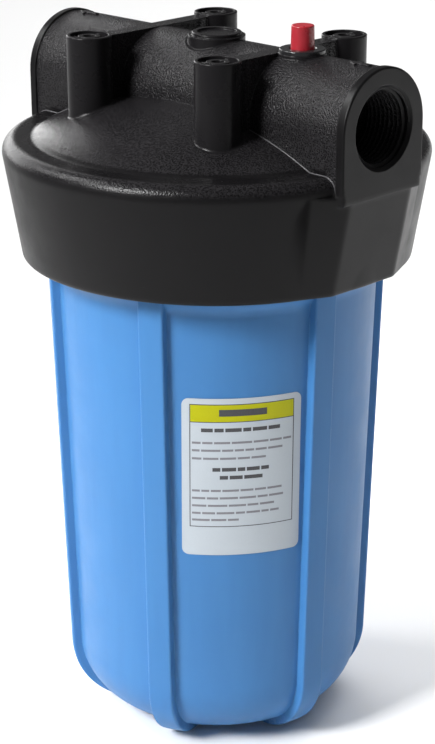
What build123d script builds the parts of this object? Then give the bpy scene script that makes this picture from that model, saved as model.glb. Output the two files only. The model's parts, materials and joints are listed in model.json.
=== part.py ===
"""Cartridge filter housing, 10 inch large-diameter size.

A blue sump screws up into a black cap that carries two in-line pipe ports, four bracket
bosses and a push-button pressure relief valve. A pleated cartridge stands inside.

Millimetres, +Z up along the sump's axis, +X along the pipe towards the inlet port.
The origin is the centre of the sump's feet.
"""

from build123d import *
from math import cos, hypot, radians, sin, sqrt
import os

os.makedirs("parts", exist_ok=True)

# ---- Driving dimensions: whole object ----
BOSS_TOP_Z = 311.0
PORT_AXIS_Z = 286.0
PORT_FACE_X = 93.5

# ---- How near a point must lie to a surface to count as on it ----
FIT = 0.05

# ---- Sump ----
RIB_COUNT = 6
RIB_WIDTH = 11.2
RIB_FIRST_ANGLE = -7.6
RIB_ROUND = 0.9
RIB_INNER_R = 30.0
FOOT_R = 37.0
ENVELOPE_CORNER_R = 32.0
PANEL_FLOOR_Z = 3.0
PANEL_LOW_R = 64.9
PANEL_LOW_Z = 33.0
PANEL_TOP_R = 70.0
PANEL_TOP_Z = 208.0
COLLAR_R = 74.4
COLLAR_Z = 219.0
SUMP_FLOOR_Z = 8.0
SUMP_CORNER_R = 24.0
SUMP_INNER_LOW_R = 60.4
SUMP_INNER_TOP_R = 66.0
SUMP_RIM_Z = 252.8
NECK_R = 73.6
SUMP_SEAT_Z = 20.0
SUMP_SPIGOT_R = 12.8
SUMP_SPIGOT_Z = 32.0
SEAT_INNER_R = 14.6
SEAT_OUTER_R = 16.6

# ---- Screw thread between sump and cap ----
THREAD_PITCH = 8.0
THREAD_TURNS = 3
THREAD_LOW_Z = 223.0
SUMP_CREST_R = 76.2
CAP_CREST_R = 76.7
CAP_ROOT_R = 79.0
CREST_WIDTH = 1.6
ROOT_WIDTH = 3.6

# ---- Seal ring round the sump's neck ----
RING_SECTION_R = 2.5
RING_Z = 249.0
RING_GROOVE_DEPTH = 3.7
RING_GROOVE_HALF = 2.7
SEAL_LAND_R = 75.0

# ---- Label ----
LABEL_ANGLE = -36.5
LABEL_HALF_WIDTH = 26.0
LABEL_LOW_Z = 100.0
LABEL_HIGH_Z = 172.5
LABEL_CORNER_R = 3.0
LABEL_GAP = 0.05
LABEL_THICKNESS = 0.25

# ---- Cap shell ----
SKIRT_Z = 218.0
SKIRT_R = 85.0
RIM_R = 92.3
SHELF_Z = 269.0
SHOULDER_R = 6.0
SKIRT_EDGE_R = 1.2
DOME_EDGE_R = 79.2
DOME_TOP_Z = 287.6
DOME_ROOT_R = 4.0
CAP_WALL = 6.0
STOP_Z = 253.0
SEAL_LAND_Z = 246.5
CHAMBER_R = 69.5
CHAMBER_SIDE_Z = 261.0

# ---- Pipe barrel and ports ----
BARREL_R = 23.8
LIP_R = 24.5
LIP_LENGTH = 4.0
LIP_EDGE_R = 0.4
FACE_EDGE_R = 0.8
PORT_R = 16.1
PORT_DEPTH = 24.0
PORT_CHAMFER = 1.4
PASSAGE_R = 13.0
PASSAGE_WALL_R = 17.5
PASSAGE_WALL_X = 66.0
OUTLET_END_X = 9.0
INLET_END_X = 30.0
INLET_DROP_X = 50.0
INLET_DROP_R = 9.5
APRON_TOP_Z = 262.0
APRON_FOOT_X = 84.6
APRON_FLAT = 19.0
APRON_SPREAD = 22.0
APRON_ROUND = 5.0

# ---- Centre outlet stub ----
CAP_SEAT_Z = 267.0
SPIGOT_R = 12.4
SPIGOT_Z = 256.0
STUB_BORE_R = 10.2

# ---- Bracket bosses and webs ----
BOSS_SPACING = 76.2
BOSS_R = 9.65
BOSS_FOOT_Z = 268.0
BOSS_EDGE_R = 0.5
BOSS_ROOT_R = 1.2
BOSS_RECESS_R = 8.2
BOSS_RECESS_DEPTH = 4.0
BOSS_RIB_COUNT = 4
BOSS_RIB_ANGLE = 20.0
BOSS_RIB_THICKNESS = 1.3
BOSS_RIB_DROP = 1.2
SCREW_TUBE_R = 4.7
SCREW_TUBE_DROP = 0.5
SCREW_R = 2.7
SCREW_DEPTH = 22.0
WEB_THICKNESS = 8.0
WEB_TOP_Z = 310.0

# ---- Round pad at the middle of the barrel ----
PAD_R = 12.2
PAD_TOP_Z = 312.4
PAD_STEP_R = 10.6
PAD_STEP = 1.4
PAD_EDGE_R = 0.5
PAD_DISH_R = 8.4
PAD_DISH_DEPTH = 0.9

# ---- Relief valve ----
RELIEF_X = 49.0
RELIEF_BOSS_R = 9.9
RELIEF_BOSS_Z = 310.2
POCKET_R = 7.9
POCKET_Z = 302.2
STEM_HOLE_R = 1.9
SPOTFACE_R = 5.4
SPOTFACE_Z = 299.4
COLLAR_FLANGE_TOP_Z = 312.0
COLLAR_FLANGE_R = 9.6
COLLAR_BODY_R = 7.8
COLLAR_LOW_Z = 303.4
COLLAR_BORE_R = 5.35
COLLAR_ROUND = 0.5
BUTTON_R = 5.0
BUTTON_TOP_R = 4.7
BUTTON_TOP_Z = 321.4
BUTTON_LOW_Z = 305.6
BUTTON_ROUND = 0.6
BUTTON_CUP_R = 4.1
BUTTON_CUP_Z = 315.5
STEM_R = 1.5
STEM_TOP_Z = 318.5
STEM_LOW_Z = 296.0
SPRING_R = 3.1
SPRING_WIRE_R = 0.3
SPRING_TURNS = 7
SPRING_CLEARANCE = 0.2
RELIEF_SEAL_R = 4.6
RELIEF_SEAL_THICKNESS = 1.4
RELIEF_WASHER_R = 4.0
RELIEF_WASHER_THICKNESS = 0.5
RELIEF_CLIP_R = 3.0
RELIEF_CLIP_THICKNESS = 0.5
STEM_GROOVE_R = 1.1

# ---- Filter cartridge ----
GASKET_THICKNESS = 3.0
GASKET_INNER_R = 14.0
GASKET_OUTER_R = 18.0
END_CAP_R = 57.0
END_CAP_HOLE_R = 13.8
END_CAP_PLATE = 6.0
END_CAP_LIP = 4.0
END_CAP_LIP_R = 55.4
CORE_R = 17.5
CORE_WALL = 2.0
CORE_HOLE_R = 2.5
CORE_HOLE_ROWS = 15
CORE_HOLES_AROUND = 8
MESH_THICKNESS = 0.6
MESH_GAP = 0.1
PLEAT_COUNT = 48
PLEAT_OUT_R = 54.2
PLEAT_IN_R = 19.4
PLEAT_SHEET = 0.7
NET_INNER_R = 54.5
NET_THICKNESS = 0.7


def save(piece, name):
    """Label a finished piece and write its file."""
    piece.part.label = name
    export_step(piece.part, f"parts/{name}.step")


def edges_where(piece, test):
    """Edges of a piece that pass a test at points all along them."""
    shares = (0, 0.25, 0.5, 0.75, 1)
    return [edge for edge in piece.edges() if all(test(edge @ share) for share in shares)]


def boss_distance(point):
    """How far a point stands from the wall of the nearest bracket boss."""
    half = BOSS_SPACING / 2
    return abs(hypot(abs(point.X) - half, abs(point.Y) - half) - BOSS_R)


def ring_profile(inner_r, outer_r, low_z, high_z):
    """Rectangle in the XZ half plane, ready to revolve into a ring."""
    with Locations(((inner_r + outer_r) / 2, (low_z + high_z) / 2)):
        Rectangle(outer_r - inner_r, high_z - low_z)


def thread_profile(root_r, crest_r, z):
    """One trapezoid tooth in the XZ half plane."""
    half_root = ROOT_WIDTH / 2
    half_crest = CREST_WIDTH / 2
    Polygon(
        (root_r, z - half_root),
        (crest_r, z - half_crest),
        (crest_r, z + half_crest),
        (root_r, z + half_root),
        align=None,
    )


# ---- Sump: cylindrical panels between six wide ribs that run down into feet ----
with BuildPart() as rib_envelope:
    with BuildSketch(Plane.XZ):
        with BuildLine():
            foot = Line((0, 0), (FOOT_R, 0))
            corner = RadiusArc(foot @ 1, (FOOT_R + ENVELOPE_CORNER_R, ENVELOPE_CORNER_R), -ENVELOPE_CORNER_R)
            Polyline(corner @ 1, (COLLAR_R, COLLAR_Z), (0, COLLAR_Z), (0, 0))
        make_face()
    revolve(axis=Axis.Z)

with BuildPart() as ribs:
    with BuildSketch(Plane.XY):
        with PolarLocations(0, RIB_COUNT, RIB_FIRST_ANGLE):
            with Locations(((RIB_INNER_R + COLLAR_R) / 2, 0)):
                Rectangle(COLLAR_R - RIB_INNER_R + 4, RIB_WIDTH)
    extrude(amount=COLLAR_Z)
    add(rib_envelope.part, mode=Mode.INTERSECT)
    outer_edges = ribs.edges().filter_by(
        lambda edge: edge.center().Z < COLLAR_Z - 1
        and hypot(edge.center().X, edge.center().Y) > FOOT_R + FIT
    )
    fillet(outer_edges, RIB_ROUND)

with BuildPart() as sump:
    with BuildSketch(Plane.XZ):
        with BuildLine():
            floor = Line((0, PANEL_FLOOR_Z), (PANEL_LOW_R - PANEL_LOW_Z + PANEL_FLOOR_Z, PANEL_FLOOR_Z))
            corner = RadiusArc(floor @ 1, (PANEL_LOW_R, PANEL_LOW_Z), PANEL_FLOOR_Z - PANEL_LOW_Z)
            side = Line(corner @ 1, (PANEL_TOP_R, PANEL_TOP_Z))
            blend = Spline(
                side @ 1,
                (COLLAR_R, COLLAR_Z),
                tangents=((PANEL_TOP_R - PANEL_LOW_R, PANEL_TOP_Z - PANEL_LOW_Z), (0, 1)),
            )
            Polyline(
                blend @ 1,
                (COLLAR_R, RING_Z - 2 * RING_GROOVE_HALF),
                (NECK_R, RING_Z - RING_GROOVE_HALF - 1),
                (NECK_R, SUMP_RIM_Z),
                (0, SUMP_RIM_Z),
                (0, PANEL_FLOOR_Z),
            )
        make_face()
    revolve(axis=Axis.Z)
    add(ribs.part)
    # The bore, with its rounded floor.
    with BuildSketch(Plane.XZ):
        with BuildLine():
            floor = Line((0, SUMP_FLOOR_Z), (SUMP_INNER_LOW_R - SUMP_CORNER_R, SUMP_FLOOR_Z))
            corner = RadiusArc(
                floor @ 1, (SUMP_INNER_LOW_R, SUMP_FLOOR_Z + SUMP_CORNER_R), -SUMP_CORNER_R
            )
            Polyline(
                corner @ 1,
                (SUMP_INNER_TOP_R, COLLAR_Z),
                (SUMP_INNER_TOP_R, SUMP_RIM_Z + 1),
                (0, SUMP_RIM_Z + 1),
                (0, SUMP_FLOOR_Z),
            )
        make_face()
    revolve(axis=Axis.Z, mode=Mode.SUBTRACT)
    # Knife-edge seat for the cartridge, and the spigot that centres it.
    with BuildSketch(Plane.XZ):
        ring_profile(SEAT_INNER_R, SEAT_OUTER_R, PANEL_FLOOR_Z + 1, SUMP_SEAT_Z)
        ring_profile(SUMP_SPIGOT_R - 2, SUMP_SPIGOT_R, PANEL_FLOOR_Z + 1, SUMP_SPIGOT_Z)
    revolve(axis=Axis.Z)
    # Screw thread.
    with BuildSketch(Plane.XZ):
        for turn in range(THREAD_TURNS):
            thread_profile(COLLAR_R - 0.5, SUMP_CREST_R, THREAD_LOW_Z + (turn + 0.5) * THREAD_PITCH)
    revolve(axis=Axis.Z)
    # Groove for the seal ring.
    with BuildSketch(Plane.XZ):
        ring_profile(
            NECK_R - RING_GROOVE_DEPTH, NECK_R + 1, RING_Z - RING_GROOVE_HALF, RING_Z + RING_GROOVE_HALF
        )
    revolve(axis=Axis.Z, mode=Mode.SUBTRACT)
save(sump, "sump")

with BuildPart() as sump_o_ring:
    with BuildSketch(Plane.XZ):
        with Locations((NECK_R - RING_GROOVE_DEPTH + RING_SECTION_R, RING_Z)):
            Circle(RING_SECTION_R)
    revolve(axis=Axis.Z)
save(sump_o_ring, "sump_o_ring")


# ---- Label: a thin sheet that follows the panel it is stuck on ----
def panel_radius(z):
    """Outside radius of the sump's panels at height z."""
    rise = (z - PANEL_LOW_Z) / (PANEL_TOP_Z - PANEL_LOW_Z)
    return PANEL_LOW_R + rise * (PANEL_TOP_R - PANEL_LOW_R)


with BuildPart() as sump_label:
    inner = LABEL_GAP
    outer = LABEL_GAP + LABEL_THICKNESS
    with BuildSketch(Plane.XZ):
        with BuildLine():
            Polyline(
                (panel_radius(LABEL_LOW_Z) + inner, LABEL_LOW_Z),
                (panel_radius(LABEL_LOW_Z) + outer, LABEL_LOW_Z),
                (panel_radius(LABEL_HIGH_Z) + outer, LABEL_HIGH_Z),
                (panel_radius(LABEL_HIGH_Z) + inner, LABEL_HIGH_Z),
                close=True,
            )
        make_face()
    revolve(axis=Axis.Z)
    label_plane = Plane(
        origin=(0, 0, (LABEL_LOW_Z + LABEL_HIGH_Z) / 2),
        x_dir=(-sin(radians(LABEL_ANGLE)), cos(radians(LABEL_ANGLE)), 0),
        z_dir=(cos(radians(LABEL_ANGLE)), sin(radians(LABEL_ANGLE)), 0),
    )
    half_chord = panel_radius(LABEL_LOW_Z) * sin(LABEL_HALF_WIDTH / panel_radius(LABEL_LOW_Z))
    with BuildSketch(label_plane):
        RectangleRounded(2 * half_chord, LABEL_HIGH_Z - LABEL_LOW_Z, LABEL_CORNER_R)
    extrude(amount=2 * PANEL_TOP_R, mode=Mode.INTERSECT)
save(sump_label, "sump_label")


# ---- Cap: dome, shelf, shoulder and tapered skirt, with the pipe barrel across the top ----
def barrel_outline(radius, foot_z):
    """Rounded top on straight sides, seen along the pipe."""
    with Locations((0, PORT_AXIS_Z)):
        Circle(radius)
    with Locations((0, (PORT_AXIS_Z + foot_z) / 2)):
        Rectangle(2 * radius, PORT_AXIS_Z - foot_z)


def dome_curve(offset_down, edge_r):
    """Arc of the domed top from the axis to edge_r, lowered by offset_down."""
    sag = DOME_TOP_Z - SHELF_Z
    sphere_r = (DOME_EDGE_R**2 + sag**2) / (2 * sag)
    centre_z = DOME_TOP_Z - sphere_r
    inner_r = sphere_r - offset_down
    edge_z = centre_z + sqrt(inner_r**2 - edge_r**2)
    middle_r = edge_r / 2
    middle_z = centre_z + sqrt(inner_r**2 - middle_r**2)
    return ThreePointArc((0, centre_z + inner_r), (middle_r, middle_z), (edge_r, edge_z))


def skirt_radius(z):
    """Outside radius of the tapered skirt at height z."""
    rise = (z - SKIRT_Z) / (SHELF_Z - SKIRT_Z)
    return SKIRT_R + rise * (RIM_R + 1 - SKIRT_R)


def apron_section(face_x, z):
    """Half of a port apron's section: a flat front whose sides flare back to the skirt."""
    side_x = skirt_radius(z) * cos(radians(APRON_SPREAD))
    side_y = skirt_radius(z) * sin(radians(APRON_SPREAD))
    Polygon(
        (0, -side_y),
        (side_x, -side_y),
        (face_x, -APRON_FLAT),
        (face_x, APRON_FLAT),
        (side_x, side_y),
        (0, side_y),
        align=None,
    )


with BuildPart() as apron:
    with BuildSketch(Plane.XY.offset(SKIRT_Z)):
        apron_section(APRON_FOOT_X, SKIRT_Z)
    with BuildSketch(Plane.XY.offset(APRON_TOP_Z)):
        apron_section(PORT_FACE_X, APRON_TOP_Z)
    loft()
    front_edges = apron.edges().filter_by(
        lambda edge: edge.center().X > APRON_FOOT_X and SKIRT_Z < edge.center().Z < APRON_TOP_Z
    )
    fillet(front_edges, APRON_ROUND)

with BuildPart() as barrel:
    with BuildSketch(Plane.YZ):
        barrel_outline(BARREL_R, APRON_TOP_Z - LIP_LENGTH)
    extrude(amount=PORT_FACE_X, both=True)
    for side in (-1, 1):
        with BuildSketch(Plane.YZ.offset(side * (PORT_FACE_X - LIP_LENGTH / 2))):
            barrel_outline(LIP_R, APRON_TOP_Z)
        extrude(amount=LIP_LENGTH / 2, both=True)

with BuildPart() as bosses:
    with BuildSketch(Plane.XY.offset(BOSS_FOOT_Z)):
        with GridLocations(BOSS_SPACING, BOSS_SPACING, 2, 2):
            Circle(BOSS_R)
    extrude(amount=BOSS_TOP_Z - BOSS_FOOT_Z)
    fillet(bosses.edges().group_by(Axis.Z)[-1], BOSS_EDGE_R)

with BuildPart() as cap:
    with BuildSketch(Plane.XZ):
        with BuildLine():
            dome = dome_curve(0, DOME_EDGE_R)
            Polyline(
                dome @ 1,
                (RIM_R + 1, SHELF_Z),
                (SKIRT_R, SKIRT_Z),
                (0, SKIRT_Z),
                dome @ 0,
            )
        make_face()
        fillet(vertices().sort_by(Axis.X)[-1], SHOULDER_R)
        fillet(vertices().filter_by_position(Axis.X, DOME_EDGE_R - FIT, DOME_EDGE_R + FIT), DOME_ROOT_R)
    revolve(axis=Axis.Z)
    add(barrel.part)
    add(apron.part)
    add(apron.part.mirror(Plane.YZ))
    # Bracket bosses, joined in pairs by webs that cross the barrel.
    with BuildSketch(Plane.XY.offset(BOSS_FOOT_Z)):
        with GridLocations(BOSS_SPACING, BOSS_SPACING, 2, 2):
            Circle(BOSS_R)
        with GridLocations(BOSS_SPACING, 0, 2, 1):
            Rectangle(WEB_THICKNESS, BOSS_SPACING)
    extrude(amount=WEB_TOP_Z - BOSS_FOOT_Z)
    add(bosses.part)
    # Stepped round pad at the middle of the barrel, and the boss under the relief valve.
    with BuildSketch(Plane.XY.offset(PORT_AXIS_Z)):
        Circle(PAD_R)
    extrude(amount=PAD_TOP_Z - PORT_AXIS_Z - PAD_STEP)
    with BuildSketch(Plane.XY.offset(PORT_AXIS_Z)):
        Circle(PAD_STEP_R)
    extrude(amount=PAD_TOP_Z - PORT_AXIS_Z)
    with BuildSketch(Plane.XY.offset(PORT_AXIS_Z)):
        with Locations((RELIEF_X, 0)):
            Circle(RELIEF_BOSS_R)
    extrude(amount=RELIEF_BOSS_Z - PORT_AXIS_Z)
    # Moulded rounds, from the largest down.
    fillet(edges_where(cap, lambda p: boss_distance(p) < FIT and p.Z < WEB_TOP_Z - BOSS_R), BOSS_ROOT_R)
    fillet(
        [
            edge
            for edge in edges_where(cap, lambda p: abs(abs(p.X) - PORT_FACE_X) < FIT)
            if max(abs((edge @ share).Y) for share in (0, 0.5, 1)) > APRON_FLAT + 1
        ],
        FACE_EDGE_R,
    )
    fillet(
        edges_where(
            cap,
            lambda p: abs(abs(p.X) - PORT_FACE_X + LIP_LENGTH) < FIT
            and abs(hypot(p.Y, p.Z - PORT_AXIS_Z) - LIP_R) < LIP_R - BARREL_R - FIT,
        ),
        LIP_EDGE_R,
    )
    fillet(edges_where(cap, lambda p: hypot(p.X, p.Y) < PAD_R + 1 and p.Z > PAD_TOP_Z - FIT), PAD_EDGE_R)
    fillet(edges_where(cap, lambda p: abs(p.Z - SKIRT_Z) < FIT), SKIRT_EDGE_R)
    # Inside: thread bore, seal land, stop face and the chamber under the dome.
    with BuildSketch(Plane.XZ):
        with BuildLine():
            roof = dome_curve(CAP_WALL, CHAMBER_R - CAP_WALL)
            side = RadiusArc(roof @ 1, (CHAMBER_R, CHAMBER_SIDE_Z), 2 * CAP_WALL)
            Polyline(
                side @ 1,
                (CHAMBER_R, STOP_Z),
                (SEAL_LAND_R, STOP_Z),
                (SEAL_LAND_R, SEAL_LAND_Z),
                (CAP_ROOT_R, SEAL_LAND_Z - CAP_ROOT_R + SEAL_LAND_R),
                (CAP_ROOT_R, SKIRT_Z - 1),
                (0, SKIRT_Z - 1),
                roof @ 0,
            )
        make_face()
    revolve(axis=Axis.Z, mode=Mode.SUBTRACT)
    with BuildSketch(Plane.XZ):
        for turn in range(THREAD_TURNS):
            thread_profile(CAP_ROOT_R + 0.5, CAP_CREST_R, THREAD_LOW_Z + turn * THREAD_PITCH)
    revolve(axis=Axis.Z)
    # Passage walls that hang inside the chamber, and the centre stub with its spigot.
    with BuildSketch(Plane.YZ):
        with Locations((0, PORT_AXIS_Z)):
            Circle(PASSAGE_WALL_R)
    extrude(amount=PASSAGE_WALL_X, both=True)
    with BuildSketch(Plane.XY.offset(CAP_SEAT_Z)):
        Circle(SEAT_OUTER_R)
    extrude(amount=PORT_AXIS_Z - CAP_SEAT_Z)
    with BuildSketch(Plane.XY.offset(SPIGOT_Z)):
        Circle(SPIGOT_R)
    extrude(amount=PORT_AXIS_Z - SPIGOT_Z)
    # Outlet: from the -X port to the centre, then down the stub.
    with BuildSketch(Plane.YZ.offset(-PORT_FACE_X)):
        with Locations((0, PORT_AXIS_Z)):
            Circle(PASSAGE_R)
    extrude(amount=PORT_FACE_X + OUTLET_END_X, mode=Mode.SUBTRACT)
    with BuildSketch(Plane.XY.offset(SPIGOT_Z - 1)):
        Circle(STUB_BORE_R)
    extrude(amount=PORT_AXIS_Z - SPIGOT_Z + 1, mode=Mode.SUBTRACT)
    # Inlet: from the +X port to an opening down into the chamber, outside the cartridge.
    with BuildSketch(Plane.YZ.offset(PORT_FACE_X)):
        with Locations((0, PORT_AXIS_Z)):
            Circle(PASSAGE_R)
    extrude(amount=INLET_END_X - PORT_FACE_X, mode=Mode.SUBTRACT)
    with BuildSketch(Plane.XY.offset(PORT_AXIS_Z - PASSAGE_WALL_R - 2)):
        with Locations((INLET_DROP_X, 0)):
            Circle(INLET_DROP_R)
    extrude(amount=PASSAGE_WALL_R + 2, mode=Mode.SUBTRACT)
    # Pipe sockets, each with a chamfered mouth.
    for side in (-1, 1):
        mouth = Plane(origin=(side * PORT_FACE_X, 0, PORT_AXIS_Z), z_dir=(-side, 0, 0))
        with BuildSketch(mouth):
            Circle(PORT_R)
        extrude(amount=PORT_DEPTH, mode=Mode.SUBTRACT)
        with BuildSketch(mouth):
            Circle(PORT_R + PORT_CHAMFER)
        extrude(amount=PORT_CHAMFER, taper=45, mode=Mode.SUBTRACT)
    # Each boss is cored out at its top, round a screw tube held by short ribs.
    with BuildSketch(Plane.XY.offset(BOSS_TOP_Z)):
        with GridLocations(BOSS_SPACING, BOSS_SPACING, 2, 2):
            Circle(BOSS_RECESS_R)
            Circle(SCREW_TUBE_R, mode=Mode.SUBTRACT)
    extrude(amount=-BOSS_RECESS_DEPTH, mode=Mode.SUBTRACT)
    with BuildSketch(Plane.XY.offset(BOSS_TOP_Z - BOSS_RECESS_DEPTH)):
        with GridLocations(BOSS_SPACING, BOSS_SPACING, 2, 2):
            with PolarLocations((SCREW_TUBE_R + BOSS_RECESS_R) / 2, BOSS_RIB_COUNT, BOSS_RIB_ANGLE):
                Rectangle(BOSS_RECESS_R - SCREW_TUBE_R + 1, BOSS_RIB_THICKNESS)
    extrude(amount=BOSS_RECESS_DEPTH - BOSS_RIB_DROP)
    with BuildSketch(Plane.XY.offset(BOSS_TOP_Z)):
        with GridLocations(BOSS_SPACING, BOSS_SPACING, 2, 2):
            Circle(SCREW_TUBE_R)
    extrude(amount=-SCREW_TUBE_DROP, mode=Mode.SUBTRACT)
    with BuildSketch(Plane.XY.offset(BOSS_TOP_Z)):
        with GridLocations(BOSS_SPACING, BOSS_SPACING, 2, 2):
            Circle(SCREW_R)
    extrude(amount=-SCREW_DEPTH, mode=Mode.SUBTRACT)
    with BuildSketch(Plane.XY.offset(PAD_TOP_Z)):
        Circle(PAD_DISH_R)
    extrude(amount=-PAD_DISH_DEPTH, mode=Mode.SUBTRACT)
    # Relief valve pocket, stem hole and the seat that the seal shuts against.
    with BuildSketch(Plane.XY.offset(POCKET_Z)):
        with Locations((RELIEF_X, 0)):
            Circle(POCKET_R)
    extrude(amount=BOSS_TOP_Z - POCKET_Z, mode=Mode.SUBTRACT)
    with BuildSketch(Plane.XY.offset(PORT_AXIS_Z)):
        with Locations((RELIEF_X, 0)):
            Circle(STEM_HOLE_R)
    extrude(amount=POCKET_Z - PORT_AXIS_Z, mode=Mode.SUBTRACT)
    with BuildSketch(Plane.XY.offset(PORT_AXIS_Z)):
        with Locations((RELIEF_X, 0)):
            Circle(SPOTFACE_R)
    extrude(amount=SPOTFACE_Z - PORT_AXIS_Z, mode=Mode.SUBTRACT)
save(cap, "cap")


# ---- Relief valve: a red button on a stem, pushed up by a spring ----
SEAL_LOW_Z = SPOTFACE_Z - RELIEF_SEAL_THICKNESS
WASHER_LOW_Z = SEAL_LOW_Z - RELIEF_WASHER_THICKNESS
CLIP_LOW_Z = WASHER_LOW_Z - RELIEF_CLIP_THICKNESS

with BuildPart() as relief_collar:
    with BuildSketch(Plane.XY.offset(COLLAR_LOW_Z)):
        with Locations((RELIEF_X, 0)):
            Circle(COLLAR_BODY_R)
    extrude(amount=RELIEF_BOSS_Z - COLLAR_LOW_Z)
    with BuildSketch(Plane.XY.offset(RELIEF_BOSS_Z)):
        with Locations((RELIEF_X, 0)):
            Circle(COLLAR_FLANGE_R)
    extrude(amount=COLLAR_FLANGE_TOP_Z - RELIEF_BOSS_Z)
    fillet(relief_collar.edges().group_by(Axis.Z)[-1], COLLAR_ROUND)
    with BuildSketch(Plane.XY.offset(COLLAR_LOW_Z)):
        with Locations((RELIEF_X, 0)):
            Circle(COLLAR_BORE_R)
    extrude(amount=COLLAR_FLANGE_TOP_Z - COLLAR_LOW_Z, mode=Mode.SUBTRACT)
    chamfer(relief_collar.edges().group_by(Axis.Z)[-1], COLLAR_ROUND)
save(relief_collar, "relief_collar")

with BuildPart() as relief_button:
    with BuildSketch(Plane.XY.offset(BUTTON_LOW_Z)):
        with Locations((RELIEF_X, 0)):
            Circle(BUTTON_R)
    with BuildSketch(Plane.XY.offset(BUTTON_TOP_Z)):
        with Locations((RELIEF_X, 0)):
            Circle(BUTTON_TOP_R)
    loft()
    fillet(relief_button.edges().group_by(Axis.Z)[-1], BUTTON_ROUND)
    with BuildSketch(Plane.XY.offset(BUTTON_LOW_Z)):
        with Locations((RELIEF_X, 0)):
            Circle(BUTTON_CUP_R)
    extrude(amount=BUTTON_CUP_Z - BUTTON_LOW_Z, mode=Mode.SUBTRACT)
    with BuildSketch(Plane.XY.offset(BUTTON_LOW_Z)):
        with Locations((RELIEF_X, 0)):
            Circle(STEM_R)
    extrude(amount=STEM_TOP_Z - BUTTON_LOW_Z, mode=Mode.SUBTRACT)
save(relief_button, "relief_button")

with BuildPart() as relief_stem:
    with BuildSketch(Plane.XY.offset(STEM_LOW_Z)):
        with Locations((RELIEF_X, 0)):
            Circle(STEM_R)
    extrude(amount=STEM_TOP_Z - STEM_LOW_Z)
    with BuildSketch(Plane.XY.offset(CLIP_LOW_Z)):
        with Locations((RELIEF_X, 0)):
            Circle(STEM_R)
            Circle(STEM_GROOVE_R, mode=Mode.SUBTRACT)
    extrude(amount=RELIEF_CLIP_THICKNESS, mode=Mode.SUBTRACT)
save(relief_stem, "relief_stem")

with BuildPart() as relief_seal:
    with BuildSketch(Plane.XY.offset(SEAL_LOW_Z)):
        with Locations((RELIEF_X, 0)):
            Circle(RELIEF_SEAL_R)
            Circle(STEM_R, mode=Mode.SUBTRACT)
    extrude(amount=RELIEF_SEAL_THICKNESS)
save(relief_seal, "relief_seal")

with BuildPart() as relief_washer:
    with BuildSketch(Plane.XY.offset(WASHER_LOW_Z)):
        with Locations((RELIEF_X, 0)):
            Circle(RELIEF_WASHER_R)
            Circle(STEM_R, mode=Mode.SUBTRACT)
    extrude(amount=RELIEF_WASHER_THICKNESS)
save(relief_washer, "relief_washer")

with BuildPart() as relief_retaining_clip:
    with BuildSketch(Plane.XY.offset(CLIP_LOW_Z)):
        with Locations((RELIEF_X, 0)):
            Circle(RELIEF_CLIP_R)
            Circle(STEM_GROOVE_R, mode=Mode.SUBTRACT)
        with Locations((RELIEF_X + RELIEF_CLIP_R, 0)):
            Rectangle(2 * RELIEF_CLIP_R, 1.4 * STEM_GROOVE_R, mode=Mode.SUBTRACT)
    extrude(amount=RELIEF_CLIP_THICKNESS)
save(relief_retaining_clip, "relief_retaining_clip")

with BuildPart() as relief_spring:
    spring_length = BUTTON_CUP_Z - POCKET_Z - 2 * SPRING_WIRE_R - SPRING_CLEARANCE
    spring_foot = POCKET_Z + SPRING_WIRE_R + SPRING_CLEARANCE / 2
    with BuildLine():
        coil = Helix(
            spring_length / SPRING_TURNS, spring_length, SPRING_R, center=(RELIEF_X, 0, spring_foot)
        )
    with BuildSketch(Plane(origin=coil @ 0, z_dir=coil % 0)):
        Circle(SPRING_WIRE_R)
    sweep(is_frenet=True)
save(relief_spring, "relief_spring")


# ---- Filter cartridge: star-pleated sheet on a perforated core, between two moulded end caps ----
MEDIA_LOW_Z = SUMP_SEAT_Z + GASKET_THICKNESS + END_CAP_PLATE
MEDIA_HIGH_Z = CAP_SEAT_Z - GASKET_THICKNESS - END_CAP_PLATE


with BuildPart() as cartridge_core:
    with BuildSketch(Plane.XY.offset(MEDIA_LOW_Z)):
        Circle(CORE_R)
        Circle(CORE_R - CORE_WALL, mode=Mode.SUBTRACT)
    extrude(amount=MEDIA_HIGH_Z - MEDIA_LOW_Z)
    row_pitch = (MEDIA_HIGH_Z - MEDIA_LOW_Z) / CORE_HOLE_ROWS
    for step in range(CORE_HOLES_AROUND // 2):
        turn = 180 * step / (CORE_HOLES_AROUND // 2)
        across = Plane(origin=(0, 0, 0), x_dir=(-sin(radians(turn)), cos(radians(turn)), 0),
                       z_dir=(cos(radians(turn)), sin(radians(turn)), 0))
        with BuildSketch(across):
            for row in range(CORE_HOLE_ROWS):
                with Locations((0, MEDIA_LOW_Z + (row + 0.5) * row_pitch)):
                    Circle(CORE_HOLE_R)
        extrude(amount=CORE_R + 1, both=True, mode=Mode.SUBTRACT)
save(cartridge_core, "cartridge_core")

with BuildPart() as cartridge_inner_mesh:
    with BuildSketch(Plane.XY.offset(MEDIA_LOW_Z)):
        Circle(CORE_R + MESH_GAP + MESH_THICKNESS)
        Circle(CORE_R + MESH_GAP, mode=Mode.SUBTRACT)
    extrude(amount=MEDIA_HIGH_Z - MEDIA_LOW_Z)
save(cartridge_inner_mesh, "cartridge_inner_mesh")


def star_points(out_r, in_r, tip_share, root_share):
    """Corners of a star with a narrow flat at every tip and every valley."""
    pitch = 360 / PLEAT_COUNT
    corners = []
    for pleat in range(PLEAT_COUNT):
        for radius, offset in (
            (out_r, -tip_share),
            (out_r, tip_share),
            (in_r, 0.5 - root_share),
            (in_r, 0.5 + root_share),
        ):
            angle = radians((pleat + offset) * pitch)
            corners.append((radius * cos(angle), radius * sin(angle)))
    return corners


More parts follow.
